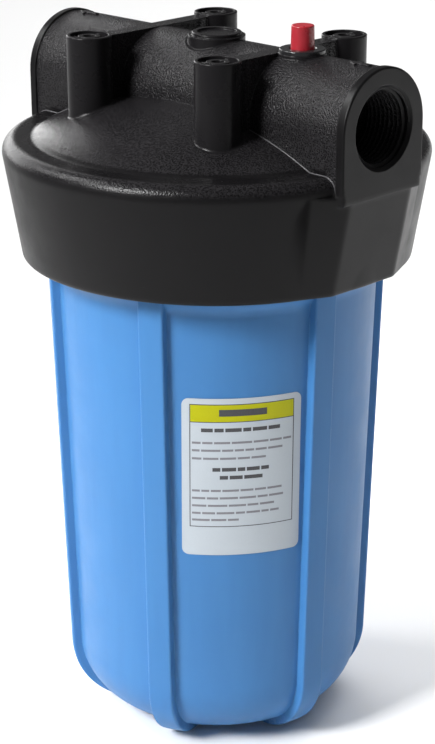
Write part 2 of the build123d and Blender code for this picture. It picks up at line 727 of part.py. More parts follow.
with BuildPart() as cartridge_pleats:
    with BuildSketch(Plane.XY.offset(MEDIA_LOW_Z)):
        Polygon(*star_points(PLEAT_OUT_R, PLEAT_IN_R + PLEAT_SHEET, 0.16, 0.12), align=None)
        Polygon(
            *star_points(PLEAT_OUT_R - PLEAT_SHEET, PLEAT_IN_R, 0.05, 0.24), align=None, mode=Mode.SUBTRACT
        )
    extrude(amount=MEDIA_HIGH_Z - MEDIA_LOW_Z)
save(cartridge_pleats, "cartridge_pleats")

with BuildPart() as cartridge_outer_net:
    with BuildSketch(Plane.XY.offset(MEDIA_LOW_Z)):
        Circle(NET_INNER_R + NET_THICKNESS)
        Circle(NET_INNER_R, mode=Mode.SUBTRACT)
    extrude(amount=MEDIA_HIGH_Z - MEDIA_LOW_Z)
save(cartridge_outer_net, "cartridge_outer_net")

END_CAPS = (
    ("cartridge_bottom_cap", MEDIA_LOW_Z - END_CAP_PLATE, MEDIA_LOW_Z, MEDIA_LOW_Z + END_CAP_LIP),
    ("cartridge_top_cap", MEDIA_HIGH_Z, MEDIA_HIGH_Z + END_CAP_PLATE, MEDIA_HIGH_Z - END_CAP_LIP),
)
for name, plate_low, plate_high, lip_z in END_CAPS:
    with BuildPart() as end_cap:
        with BuildSketch(Plane.XZ):
            ring_profile(END_CAP_HOLE_R, END_CAP_R, plate_low, plate_high)
            ring_profile(
                END_CAP_LIP_R, END_CAP_R, min(plate_low, lip_z), max(plate_high, lip_z)
            )
        revolve(axis=Axis.Z)
    save(end_cap, name)

GASKETS = (
    ("cartridge_bottom_gasket", SUMP_SEAT_Z),
    ("cartridge_top_gasket", CAP_SEAT_Z - GASKET_THICKNESS),
)
for name, low_z in GASKETS:
    with BuildPart() as gasket:
        with BuildSketch(Plane.XY.offset(low_z)):
            Circle(GASKET_OUTER_R)
            Circle(GASKET_INNER_R, mode=Mode.SUBTRACT)
        extrude(amount=GASKET_THICKNESS)
    save(gasket, name)
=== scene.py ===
"""Looks of the cartridge filter housing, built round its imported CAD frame.

Metres in the row frame: +Z up along the sump's axis, +X along the pipe towards the inlet port.
"""

import json
import random
from math import cos, pi, radians, sin, sqrt

import bmesh
import bpy
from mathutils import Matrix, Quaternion, Vector


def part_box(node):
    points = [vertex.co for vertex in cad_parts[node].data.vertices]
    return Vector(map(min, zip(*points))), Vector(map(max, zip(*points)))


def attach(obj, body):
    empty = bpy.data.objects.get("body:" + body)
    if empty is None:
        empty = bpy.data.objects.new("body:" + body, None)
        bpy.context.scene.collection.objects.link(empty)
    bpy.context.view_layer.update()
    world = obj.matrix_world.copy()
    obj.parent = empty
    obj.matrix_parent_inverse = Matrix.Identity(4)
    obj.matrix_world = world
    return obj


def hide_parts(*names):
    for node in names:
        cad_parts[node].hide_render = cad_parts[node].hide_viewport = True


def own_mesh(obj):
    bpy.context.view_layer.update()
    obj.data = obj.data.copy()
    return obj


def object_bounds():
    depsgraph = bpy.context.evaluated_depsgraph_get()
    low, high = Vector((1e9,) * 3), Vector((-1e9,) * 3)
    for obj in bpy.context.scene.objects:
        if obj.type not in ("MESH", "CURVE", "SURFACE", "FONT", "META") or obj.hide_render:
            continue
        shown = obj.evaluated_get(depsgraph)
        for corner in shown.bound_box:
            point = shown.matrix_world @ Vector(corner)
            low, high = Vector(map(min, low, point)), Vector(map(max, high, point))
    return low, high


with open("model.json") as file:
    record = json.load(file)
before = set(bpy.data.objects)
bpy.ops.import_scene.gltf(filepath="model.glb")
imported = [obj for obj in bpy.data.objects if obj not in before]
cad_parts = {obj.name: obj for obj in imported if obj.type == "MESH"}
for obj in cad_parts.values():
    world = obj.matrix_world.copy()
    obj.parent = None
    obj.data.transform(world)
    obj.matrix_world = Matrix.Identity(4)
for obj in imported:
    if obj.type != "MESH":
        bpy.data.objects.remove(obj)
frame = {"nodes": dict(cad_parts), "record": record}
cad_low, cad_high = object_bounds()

MM = 0.001

# ---- Places and sizes that come from the frame ----
mounts = {mount["name"]: mount for mount in frame["record"]["mounts"]}
PORT_AXIS_Z = mounts["inlet_port"]["pos_m"][2]
PORT_R = mounts["inlet_port"]["dims"]["r_mm"] * MM
BOSS_HALF = mounts["bracket_screws"]["dims"]["spacing_x_mm"] * MM / 2
FACE_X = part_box("cap")[1].x
label_low, label_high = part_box("sump_label")
button_low, button_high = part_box("relief_button")
RELIEF_X = (button_low.x + button_high.x) / 2
spring_low, spring_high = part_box("relief_spring")
net_low, net_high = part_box("cartridge_outer_net")
mesh_low, mesh_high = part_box("cartridge_inner_mesh")
pleats_low, pleats_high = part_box("cartridge_pleats")

# ---- Sizes of the cap's features, used to tell its smooth parts from its grained ones ----
BARREL_R = 23.8 * MM
LIP_X = FACE_X - 4.2 * MM
BOSS_R = 10.6 * MM
PAD_R = 13.0 * MM
RELIEF_BOSS_R = 10.6 * MM
DOME_TOP_Z = 287.6 * MM
DOME_FOOT_R = 79.2 * MM
SHELF_Z = 269.0 * MM
SHELF_IN_R = 76.8 * MM
SHELF_OUT_R = 87.2 * MM
SHOULDER_R = 6.0 * MM
SHOULDER_START_R = 86.4 * MM
SHOULDER_LOW_Z = SHELF_Z - SHOULDER_R
PAD_BASE_Z = 305.0 * MM
RELIEF_BOSS_BASE_Z = 308.5 * MM


# ======== Finishes ========
class Finish:
    """A material's node tree, with short calls for the nodes used here."""

    def __init__(self, name):
        self.material = bpy.data.materials.new(name)
        self.material.use_nodes = True
        self.tree = self.material.node_tree
        self.shader = self.tree.nodes["Principled BSDF"]
        self.place = self.node("ShaderNodeTexCoord").outputs["Object"]

    def node(self, kind, **settings):
        made = self.tree.nodes.new(kind)
        for key, value in settings.items():
            setattr(made, key, value)
        return made

    def feed(self, socket, value):
        if isinstance(value, bpy.types.NodeSocket):
            self.tree.links.new(value, socket)
        else:
            socket.default_value = value

    def set(self, **values):
        """Feeds the shader's sockets: underscores stand for the spaces in their names."""
        for key, value in values.items():
            self.feed(self.shader.inputs[key.replace("_", " ")], value)

    def math(self, operation, first, second=0.0, third=0.0):
        made = self.node("ShaderNodeMath", operation=operation)
        for socket, value in zip(made.inputs, (first, second, third)):
            self.feed(socket, value)
        return made.outputs[0]

    def times(self, first, second):
        return self.math("MULTIPLY", first, second)

    def axes(self):
        split = self.node("ShaderNodeSeparateXYZ")
        self.feed(split.inputs[0], self.place)
        return split.outputs

    def stretched(self, stretch):
        made = self.node("ShaderNodeMapping")
        self.feed(made.inputs["Vector"], self.place)
        made.inputs["Scale"].default_value = stretch
        return made.outputs[0]

    def noise(self, size, detail=2.0, roughness=0.5, stretch=None, distortion=0.0):
        """Soft noise whose features are about size metres across, from 0 to 1."""
        made = self.node("ShaderNodeTexNoise")
        self.feed(made.inputs["Vector"], self.stretched(stretch) if stretch else self.place)
        made.inputs["Scale"].default_value = 1 / size
        made.inputs["Detail"].default_value = detail
        made.inputs["Roughness"].default_value = roughness
        made.inputs["Distortion"].default_value = distortion
        return made.outputs[0]

    def cells(self, size, feature="F1", stretch=None):
        """Distance to the nearest of points about size metres apart."""
        made = self.node("ShaderNodeTexVoronoi", feature=feature)
        self.feed(made.inputs["Vector"], self.stretched(stretch) if stretch else self.place)
        made.inputs["Scale"].default_value = 1 / size
        return made.outputs["Distance"]

    def remap(self, value, low, high, to_low=0.0, to_high=1.0, smooth=True):
        made = self.node("ShaderNodeMapRange")
        made.interpolation_type = "SMOOTHSTEP" if smooth else "LINEAR"
        self.feed(made.inputs["Value"], value)
        made.inputs["From Min"].default_value = low
        made.inputs["From Max"].default_value = high
        made.inputs["To Min"].default_value = to_low
        made.inputs["To Max"].default_value = to_high
        return made.outputs[0]

    def colours(self, share, first, second):
        """Mix of two colours by share."""
        made = self.node("ShaderNodeMix", data_type="RGBA")
        self.feed(made.inputs[0], share)
        self.feed(made.inputs[6], first if isinstance(first, bpy.types.NodeSocket) else (*first, 1))
        self.feed(made.inputs[7], second if isinstance(second, bpy.types.NodeSocket) else (*second, 1))
        return made.outputs[2]

    def normals(self, share, first, second):
        """Mix of two normals by share."""
        made = self.node("ShaderNodeMix", data_type="VECTOR")
        self.feed(made.inputs[0], share)
        self.feed(made.inputs[4], first)
        self.feed(made.inputs[5], second)
        return made.outputs[1]

    def bump(self, height, depth, under=None):
        """Normal disturbed by a height from 0 to 1 that is depth metres deep."""
        made = self.node("ShaderNodeBump")
        made.inputs["Strength"].default_value = 1.0
        made.inputs["Distance"].default_value = depth
        self.feed(made.inputs["Height"], height)
        if under is not None:
            self.feed(made.inputs["Normal"], under)
        return made.outputs[0]

    def rounded(self, radius):
        """Normal that runs round sharp edges as if they had this radius."""
        made = self.node("ShaderNodeBevel", samples=6)
        made.inputs["Radius"].default_value = radius
        return made.outputs[0]

    def edges(self, radius):
        """1 on sharp outer and inner edges, 0 elsewhere."""
        facing = self.node("ShaderNodeVectorMath", operation="DOT_PRODUCT")
        self.feed(facing.inputs[0], self.rounded(radius))
        self.feed(facing.inputs[1], self.node("ShaderNodeNewGeometry").outputs["Normal"])
        return self.remap(facing.outputs["Value"], 0.995, 0.86)

    def near_axis(self, x, y, radius, soft=0.3 * MM, fold=False):
        """1 inside an upright cylinder about (x, y); fold counts its mirror images too."""
        across, along, _ = self.axes()
        if fold:
            across = self.math("ABSOLUTE", across)
            along = self.math("ABSOLUTE", along)
        across = self.math("SUBTRACT", across, x)
        along = self.math("SUBTRACT", along, y)
        square = self.math("ADD", self.math("POWER", across, 2), self.math("POWER", along, 2))
        away = self.math("SQRT", square)
        return self.remap(away, radius - soft, radius + soft, 1.0, 0.0)


def cap_zones(finish):
    """Shares of the cap that are high, grained, polished or shelf, and the depth of the grain."""
    across, along, up = finish.axes()
    high = finish.remap(up, SHOULDER_LOW_Z, SHELF_Z - 2.5 * MM)
    short_of_lip = finish.remap(finish.math("ABSOLUTE", across), LIP_X - 0.2 * MM, LIP_X, 1.0, 0.0)
    bosses = finish.near_axis(BOSS_HALF, BOSS_HALF, BOSS_R, fold=True)
    pad = finish.times(
        finish.near_axis(0, 0, PAD_R),
        finish.remap(up, PAD_BASE_Z, PAD_BASE_Z + 0.5 * MM),
    )
    valve = finish.times(
        finish.near_axis(RELIEF_X, 0, RELIEF_BOSS_R),
        finish.remap(up, RELIEF_BOSS_BASE_Z, RELIEF_BOSS_BASE_Z + 0.5 * MM),
    )
    smooth_tops = finish.math("MAXIMUM", bosses, finish.math("MAXIMUM", pad, valve))
    polished = finish.times(smooth_tops, high)
    ring = finish.math(
        "SUBTRACT",
        finish.near_axis(0, 0, SHELF_OUT_R, 0.9 * MM),
        finish.near_axis(0, 0, SHELF_IN_R, 0.7 * MM),
    )
    shelf = finish.times(ring, finish.remap(up, SHELF_Z + 1.4 * MM, SHELF_Z + 2.4 * MM, 1.0, 0.0))
    shelf = finish.times(shelf, high)
    grained = finish.times(high, short_of_lip)
    grained = finish.times(grained, finish.math("SUBTRACT", 1.0, polished))
    grained = finish.times(grained, finish.math("SUBTRACT", 1.0, finish.times(shelf, 0.8)))
    # The grain is deep on the barrel and finer on the dome beside it.
    from_barrel = finish.math("ABSOLUTE", along)
    depth = finish.remap(from_barrel, BARREL_R + 0.6 * MM, BARREL_R + 1.4 * MM, 1.0, 0.4)
    return high, grained, polished, shelf, depth


def cap_finish():
    """Black polypropylene: spark grain on the dome and the barrel, smooth elsewhere."""
    finish = Finish("cap_black_polypropylene")
    high, grained, polished, shelf, depth = cap_zones(finish)
    grain = finish.math(
        "ADD",
        finish.times(finish.cells(0.75 * MM), 0.9),
        finish.times(finish.noise(0.5 * MM, 2.0, 0.6), 0.7),
    )
    peel = finish.noise(5 * MM, 2.0)
    satin = finish.noise(0.35 * MM, 2.0)
    worn = finish.times(finish.edges(0.7 * MM), finish.remap(finish.noise(6 * MM, 4.0), 0.42, 0.62))
    worn = finish.times(worn, high)
    dust = finish.remap(finish.noise(1.1 * MM, 2.0), 0.70, 0.80, 0.0, 0.35)
    cloud = finish.noise(30 * MM, 3.0)
    # Grain peaks get a lighter base colour: partly scuffed peaks, partly a painted glint of the grain
    # that shows whatever the light.
    scuffed_and_glint_peaks = finish.times(grained, finish.remap(grain, 0.55, 1.0))
    tone = finish.colours(cloud, (0.0030, 0.0028, 0.0031), (0.0046, 0.0043, 0.0047))
    tone = finish.colours(scuffed_and_glint_peaks, tone, (0.015, 0.0142, 0.0154))
    tone = finish.colours(finish.times(worn, 0.5), tone, (0.05, 0.05, 0.052))
    tone = finish.colours(dust, tone, (0.03, 0.03, 0.03))
    # Painted sheen: the polished boss, pad and valve tops get a lighter base colour than the rest of the
    # cap.
    tone = finish.colours(finish.times(polished, 0.6), tone, (0.011, 0.0103, 0.0113))
    smooth_gloss = finish.remap(finish.noise(12 * MM, 4.0, 0.6), 0.3, 0.7, 0.32, 0.42, smooth=False)
    grain_gloss = finish.remap(finish.noise(3 * MM, 3.0), 0.3, 0.7, 0.17, 0.27, smooth=False)
    more_gloss = finish.math("SUBTRACT", grain_gloss, smooth_gloss)
    gloss = finish.math("ADD", smooth_gloss, finish.times(grained, more_gloss))
    gloss = finish.math("SUBTRACT", gloss, finish.times(polished, 0.09))
    gloss = finish.math("SUBTRACT", gloss, finish.times(shelf, 0.08))
    # The port aprons below the shoulder have softer edges than the top.
    normal = finish.normals(high, finish.rounded(3.0 * MM), finish.rounded(0.6 * MM))
    normal = finish.bump(peel, 0.008 * MM, normal)
    normal = finish.bump(satin, 0.004 * MM, normal)
    normal = finish.bump(finish.times(grain, finish.times(grained, depth)), 0.27 * MM, normal)
    finish.set(Base_Color=tone, Roughness=gloss, Normal=normal, IOR=1.42, Specular_IOR_Level=0.22)
    return finish.material


def sump_finish():
    """Blue polypropylene: soft sheen, faint flow lines, scuffs on the feet and edges."""
    finish = Finish("sump_blue_polypropylene")
    _, _, up = finish.axes()
    cloud = finish.noise(45 * MM, 3.0, 0.55)
    flow = finish.noise(9 * MM, 3.0, 0.5, stretch=(1, 1, 0.12))
    peel = finish.noise(2.6 * MM, 2.0, 0.45)
    fine = finish.noise(0.4 * MM, 2.0)
    low = finish.remap(up, 1 * MM, 14 * MM, 1.0, 0.0)
    scuffs = finish.times(low, finish.remap(finish.noise(1.6 * MM, 5.0, 0.7), 0.45, 0.62))
    worn = finish.times(finish.edges(0.8 * MM), finish.remap(finish.noise(7 * MM, 4.0), 0.40, 0.62))
    tone = finish.colours(cloud, (0.040, 0.158, 0.375), (0.050, 0.181, 0.415))
    tone = finish.colours(finish.remap(flow, 0.35, 0.65, 0.0, 0.35), tone, (0.054, 0.197, 0.440))
    tone = finish.colours(finish.times(worn, 0.35), tone, (0.16, 0.38, 0.64))
    tone = finish.colours(finish.times(scuffs, 0.5), tone, (0.30, 0.42, 0.58))
    gloss = finish.remap(finish.noise(16 * MM, 4.0, 0.6), 0.3, 0.7, 0.38, 0.48, smooth=False)
    gloss = finish.math("ADD", gloss, finish.times(scuffs, 0.25))
    normal = finish.bump(peel, 0.012 * MM, finish.rounded(0.7 * MM))
    normal = finish.bump(flow, 0.03 * MM, normal)
    normal = finish.bump(fine, 0.002 * MM, normal)
    normal = finish.bump(scuffs, 0.05 * MM, normal)
    finish.set(Base_Color=tone, Roughness=gloss, Normal=normal, IOR=1.40, Specular_IOR_Level=0.40)
    finish.set(Subsurface_Weight=0.12, Subsurface_Scale=3 * MM, Subsurface_Radius=(0.3, 0.6, 1.0))
    return finish.material


def plastic_finish(name, dark, light, rough, peel_depth=0.01 * MM, level=0.5):
    """Gloss or satin moulded plastic between two tones."""
    finish = Finish(name)
    tone = finish.colours(finish.noise(6 * MM, 3.0), dark, light)
    worn = finish.times(finish.edges(0.35 * MM), finish.remap(finish.noise(2.5 * MM, 3.0), 0.4, 0.6))
    tone = finish.colours(finish.times(worn, 0.4), tone, tuple(min(1, 1.6 * c + 0.03) for c in light))
    sheen = finish.noise(4 * MM, 4.0, 0.6)
    gloss = finish.remap(sheen, 0.3, 0.7, rough - 0.05, rough + 0.07, smooth=False)
    normal = finish.bump(finish.noise(1.4 * MM, 2.0), peel_depth, finish.rounded(0.3 * MM))
    normal = finish.bump(finish.noise(0.2 * MM, 2.0), 0.002 * MM, normal)
    finish.set(Base_Color=tone, Roughness=gloss, Normal=normal, Specular_IOR_Level=level)
    return finish.material


def rubber_finish(name, dark, light, pore):
    """Moulded or sponge rubber with pores about pore metres across."""
    finish = Finish(name)
    tone = finish.colours(finish.noise(8 * MM, 3.0), dark, light)
    bloom = finish.remap(finish.noise(2 * MM, 4.0, 0.7), 0.5, 0.75, 0.0, 0.3)
    tone = finish.colours(bloom, tone, tuple(c + 0.03 for c in light))
    gloss = finish.remap(finish.noise(3 * MM, 3.0), 0.3, 0.7, 0.55, 0.72, smooth=False)
    normal = finish.bump(finish.cells(pore), 0.12 * pore)
    normal = finish.bump(finish.noise(pore * 3, 3.0), 0.1 * pore, normal)
    finish.set(Base_Color=tone, Roughness=gloss, Normal=normal, Specular_IOR_Level=0.4)
    return finish.material


def steel_finish(name, rough):
    """Turned or drawn stainless steel, with fine rings round the relief valve's axis."""
    finish = Finish(name)
    rings = finish.noise(0.25 * MM, 3.0, 0.6, stretch=(0.3, 0.3, 2.5))
    tone = finish.colours(finish.noise(2 * MM, 3.0), (0.50, 0.50, 0.51), (0.66, 0.66, 0.67))
    gloss = finish.remap(rings, 0.3, 0.7, rough - 0.06, rough + 0.08, smooth=False)
    normal = finish.bump(rings, 0.006 * MM, finish.rounded(0.1 * MM))
    finish.set(Base_Color=tone, Roughness=gloss, Normal=normal, Metallic=1.0)
    return finish.material


def media_finish():
    """Spun polyester: matted fibres, a point-bonded pattern and a little yellowing."""
    finish = Finish("pleated_media")
    fibres = finish.noise(0.25 * MM, 5.0, 0.75, distortion=1.5)
    bonds = finish.remap(finish.cells(1.6 * MM), 0.10, 0.28, 1.0, 0.0)
    tone = finish.colours(finish.noise(14 * MM, 3.0), (0.78, 0.79, 0.77), (0.86, 0.87, 0.86))
    tone = finish.colours(finish.times(fibres, 0.35), tone, (0.62, 0.63, 0.62))
    gloss = finish.remap(fibres, 0.3, 0.7, 0.72, 0.88, smooth=False)
    normal = finish.bump(fibres, 0.06 * MM)
    normal = finish.bump(finish.math("SUBTRACT", 1.0, bonds), 0.05 * MM, normal)
    finish.set(Base_Color=tone, Roughness=gloss, Normal=normal, Sheen_Weight=0.25, Sheen_Roughness=0.5)
    return finish.material


def film_finish(name, tone_low, tone_high, rough=0.30):
    """Printed film: even tone with a faint press mottle and a satin laminate."""
    finish = Finish(name)
    mottle = finish.noise(0.6 * MM, 3.0, 0.6)
    tone = finish.colours(mottle, tone_low, tone_high)
    gloss = finish.remap(finish.noise(5 * MM, 3.0), 0.3, 0.7, rough, rough + 0.1, smooth=False)
    normal = finish.bump(finish.noise(7 * MM, 2.0), 0.015 * MM)
    normal = finish.bump(finish.noise(0.3 * MM, 2.0), 0.0015 * MM, normal)
    finish.set(Base_Color=tone, Roughness=gloss, Normal=normal, Specular_IOR_Level=0.2)
    return finish.material


def floor_finish():
    """Pale matt paper."""
    finish = Finish("floor_paper")
    tone = finish.colours(finish.noise(0.4, 3.0), (0.86, 0.86, 0.86), (0.88, 0.88, 0.88))
    normal = finish.bump(finish.noise(1.5 * MM, 3.0), 0.02 * MM)
    finish.set(Base_Color=tone, Roughness=0.9, Normal=normal, Specular_IOR_Level=0.1)
    return finish.material


FINISHES = {
    "cap": cap_finish(),
    "sump": sump_finish(),
    "sump_o_ring": rubber_finish(
        "black_rubber", (0.010, 0.010, 0.010), (0.018, 0.018, 0.018), 0.15 * MM
    ),
    "relief_collar": plastic_finish(
        "collar_black_plastic", (0.009, 0.009, 0.010), (0.015, 0.015, 0.016), 0.24
    ),
    "relief_button": plastic_finish(
        "button_red_plastic", (0.27, 0.012, 0.020), (0.33, 0.016, 0.026), 0.30
    ),
    "relief_stem": steel_finish("relief_metal", 0.26),
    "relief_retaining_clip": steel_finish("spring_steel", 0.34),
    "cartridge_core": plastic_finish(
        "core_white_plastic", (0.72, 0.73, 0.73), (0.80, 0.81, 0.81), 0.45
    ),
    "cartridge_inner_mesh": plastic_finish(
        "mesh_white_plastic", (0.76, 0.77, 0.77), (0.84, 0.85, 0.85), 0.42
    ),
    "cartridge_outer_net": plastic_finish(
        "net_white_plastic", (0.70, 0.73, 0.75), (0.80, 0.83, 0.84), 0.38
    ),
    "cartridge_top_cap": plastic_finish(
        "end_cap_vinyl", (0.018, 0.075, 0.23), (0.028, 0.10, 0.29), 0.46
    ),
    "cartridge_top_gasket": rubber_finish(
        "gasket_rubber", (0.016, 0.016, 0.017), (0.030, 0.030, 0.031), 0.5 * MM
    ),
    "cartridge_pleats": media_finish(),
}
for node, like in (
    ("relief_seal", "sump_o_ring"),
    ("relief_washer", "relief_stem"),
    ("relief_spring", "relief_retaining_clip"),
    ("cartridge_bottom_cap", "cartridge_top_cap"),
    ("cartridge_bottom_gasket", "cartridge_top_gasket"),
):
    FINISHES[node] = FINISHES[like]
for node, material in FINISHES.items():
    part = frame["nodes"][node]
    if not part.material_slots:
        part.data.materials.append(None)
    for slot in part.material_slots:
        slot.material = material


# ======== Mesh helpers ========
def make_piece(name, mesh, material, smooth=True):
    """New object from a bmesh, with consistent outward faces."""
    bmesh.ops.recalc_face_normals(mesh, faces=mesh.faces)
    data = bpy.data.meshes.new(name)
    mesh.to_mesh(data)
    mesh.free()
    data.materials.append(material)
    for face in data.polygons:
        face.use_smooth = smooth
    piece = bpy.data.objects.new(name, data)
    bpy.context.scene.collection.objects.link(piece)
    return piece


def add_grid(mesh, rows, closed_across=False, closed_along=False, cap_ends=False):
    """Faces between rows of points, closed on request across the rows, along them and at both ends."""
    made = [[mesh.verts.new(point) for point in row] for row in rows]
    count = len(made[0])
    wraps = count if closed_across else count - 1
    steps = len(made) if closed_along else len(made) - 1
    for i in range(steps):
        here, there = made[i], made[(i + 1) % len(made)]
        for j in range(wraps):
            k = (j + 1) % count
            mesh.faces.new((here[j], here[k], there[k], there[j]))
    if cap_ends:
        mesh.faces.new(made[0])
        mesh.faces.new(made[-1])
    return made


def frame_along(points):
    """Side and up directions at each point of a path, carried along without twist."""
    sides = []
    before = None
    for i, point in enumerate(points):
        ahead = points[min(i + 1, len(points) - 1)] - points[max(i - 1, 0)]
        ahead.normalize()
        if before is None:
            before = ahead.orthogonal()
        side = (before - ahead * before.dot(ahead)).normalized()
        sides.append((side, ahead.cross(side)))
        before = side
    return sides


def add_strand(mesh, points, radius, sides=6):
    """Round tube along a path, closed at both ends."""
    rows = []
    for point, (side, up) in zip(points, frame_along(points)):
        rows.append(
            [
                point + radius * (cos(2 * pi * k / sides) * side + sin(2 * pi * k / sides) * up)
                for k in range(sides)
            ]
        )
    add_grid(mesh, rows, closed_across=True, cap_ends=True)


# ======== Label: film, yellow band, frame lines and rows of plain bars ========
LABEL_LOW_Z = label_low.z
LABEL_HIGH_Z = label_high.z
LABEL_ANGLE = radians(-36.5)
LABEL_HALF_WIDTH = 26.0 * MM
LABEL_CORNER = 3.0 * MM
CORNER_STEP = 15
LABEL_LIFT = 0.05 * MM
LABEL_THICKNESS = 0.22 * MM
INK_THICKNESS = 0.02 * MM
INK_LIFT = LABEL_LIFT + LABEL_THICKNESS
TOP_INK_LIFT = INK_LIFT + INK_THICKNESS

# Radius and height of the sump's front panel at its lower and upper ends.
PANEL_LOW = (64.9 * MM, 33.0 * MM)
PANEL_HIGH = (70.0 * MM, 208.0 * MM)

FRAME_SIDE = 22.6 * MM
FRAME_TOP = LABEL_HIGH_Z - 2.5 * MM
FRAME_LOW = LABEL_LOW_Z + 13.4 * MM
FRAME_LINE = 0.35 * MM
BAND_LOW = FRAME_TOP - 7.9 * MM
HEADING_SIDE = 10.2 * MM
HEADING_LOW = BAND_LOW + 2.5 * MM
HEADING_HIGH = BAND_LOW + 5.5 * MM

# Rows where print would be, in mm: distance under the frame's top, then start and end from its left.
BOLD_BAR = 1.7 * MM
BOLD_ROWS = ((11.7, 4.9, 40.8), (29.8, 9.7, 36.0), (33.5, 12.8, 32.0))
PLAIN_BAR = 1.0 * MM
PLAIN_ROWS = (
    (17.5, 1.0, 44.0), (21.0, 1.0, 40.0), (24.7, 1.0, 32.5),
    (39.6, 1.0, 41.5), (43.1, 1.0, 41.5), (46.6, 1.0, 36.5), (50.1, 1.0, 38.7), (53.3, 1.0, 21.0),
)
WORD_LENGTHS = (3.0, 9.0)
SHORTEST_BAR = 1.5 * MM
BAR_GAP = 0.65 * MM


def on_panel(across, z, lift):
    """Point across metres round the panel from the label's middle, lift metres proud of the sump."""
    rise = (z - PANEL_LOW[1]) / (PANEL_HIGH[1] - PANEL_LOW[1])
    radius = PANEL_LOW[0] + rise * (PANEL_HIGH[0] - PANEL_LOW[0])
    angle = LABEL_ANGLE + across / radius
    return Vector(((radius + lift) * cos(angle), (radius + lift) * sin(angle), z))


def add_patch(mesh, left, right, low, high, lift, thickness, corner=0.0, step=1.5 * MM):
    """Closed curved sheet between two heights, with rounded corners."""
    columns = max(2, round((right - left) / step))
    shares = [i / columns for i in range(columns + 1)]
    if corner:
        width = right - left
        rounds = [corner / width * (1 - cos(radians(a))) for a in range(0, 91, CORNER_STEP)]
        inner = [s for s in shares if rounds[-1] < s < 1 - rounds[-1]]
        shares = rounds + inner + [1 - r for r in reversed(rounds)]
    rows = []
    for share in shares:
        across = left + share * (right - left)
        edge = min(across - left, right - across)
        cut = corner - sqrt(max(0.0, corner**2 - (corner - edge) ** 2)) if edge < corner else 0.0
        bottom, top = low + cut, high - cut
        levels = 10 if corner else 2
        heights = [bottom + (top - bottom) * k / levels for k in range(levels + 1)]
        rows.append(
            [on_panel(across, z, lift) for z in heights]
            + [on_panel(across, z, lift + thickness) for z in reversed(heights)]
        )
    add_grid(mesh, rows, closed_across=True, cap_ends=True)


def frame_patches():
    """The frame's three level lines and its two sides."""
    patches = []
    for high in (FRAME_TOP, BAND_LOW, FRAME_LOW + FRAME_LINE):
        patches.append((-FRAME_SIDE, FRAME_SIDE, high - FRAME_LINE, high))
    for left in (-FRAME_SIDE, FRAME_SIDE - FRAME_LINE):
        patches.append((left, left + FRAME_LINE, FRAME_LOW, FRAME_TOP))
    return patches


def bar_patches(rows, bar, draw):
    """Rows of plain bars with gaps, about as long as words."""
    patches = []
    for down, start, end in rows:
        middle = FRAME_TOP - down * MM
        at = -FRAME_SIDE + start * MM
        stop = -FRAME_SIDE + end * MM
        while at < stop - SHORTEST_BAR:
            long = min(draw.uniform(*WORD_LENGTHS) * MM, stop - at)
            patches.append((at, at + long, middle - bar / 2, middle + bar / 2))
            at += long + BAR_GAP
    return patches


def make_print(name, ink, lift, patches):
    """Ink on the film: patches given by their left, right, low and high edges."""
    mesh = bmesh.new()
    for left, right, low, high in patches:
        add_patch(mesh, left, right, low, high, lift, INK_THICKNESS)
    return make_piece(name, mesh, ink, smooth=False)


def make_label():
    """Film with a yellow band, frame lines, a heading bar and rows of plain bars."""
    mesh = bmesh.new()
    add_patch(
        mesh, -LABEL_HALF_WIDTH, LABEL_HALF_WIDTH, LABEL_LOW_Z, LABEL_HIGH_Z,
        LABEL_LIFT, LABEL_THICKNESS, LABEL_CORNER,
    )
    paper = film_finish("label_film", (0.40, 0.445, 0.485), (0.44, 0.48, 0.52))
    label = make_piece("sump_label_film", mesh, paper, smooth=False)
    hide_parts("sump_label")

    yellow = film_finish("label_yellow_ink", (0.37, 0.37, 0.001), (0.41, 0.41, 0.002))
    dark = film_finish("label_dark_ink", (0.045, 0.045, 0.05), (0.075, 0.075, 0.08))
    grey = film_finish("label_grey_ink", (0.15, 0.15, 0.17), (0.22, 0.22, 0.24))
    draw = random.Random(7)
    band = [(-FRAME_SIDE, FRAME_SIDE, BAND_LOW, FRAME_TOP)]
    heading = [(-HEADING_SIDE, HEADING_SIDE, HEADING_LOW, HEADING_HIGH)]
    pieces = [
        label,
        make_print("label_yellow_band", yellow, INK_LIFT, band),
        make_print("label_frame_lines", dark, TOP_INK_LIFT, frame_patches()),
        make_print("label_heading_bar", dark, TOP_INK_LIFT, heading),
        make_print("label_bold_bars", dark, INK_LIFT, bar_patches(BOLD_ROWS, BOLD_BAR, draw)),
        make_print("label_plain_bars", grey, INK_LIFT, bar_patches(PLAIN_ROWS, PLAIN_BAR, draw)),
    ]
    for piece in pieces:
        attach(piece, "sump")


make_label()


# ======== Pipe threads in the two ports ========
THREAD_PITCH = 25.4 / 11.5 * MM
THREAD_START = 1.5 * MM
THREAD_LENGTH = 20.5 * MM
THREAD_CREST_R = 15.0 * MM
THREAD_TAPER = 1 / 32
THREAD_STEPS = 72
THREAD_FADE = 2.5
THREAD_SINK = 0.15 * MM
THREAD_END_RISE = 0.02 * MM
THREAD_ROOT_HALF = 0.95 * MM
THREAD_CREST_HALF = 0.28 * MM


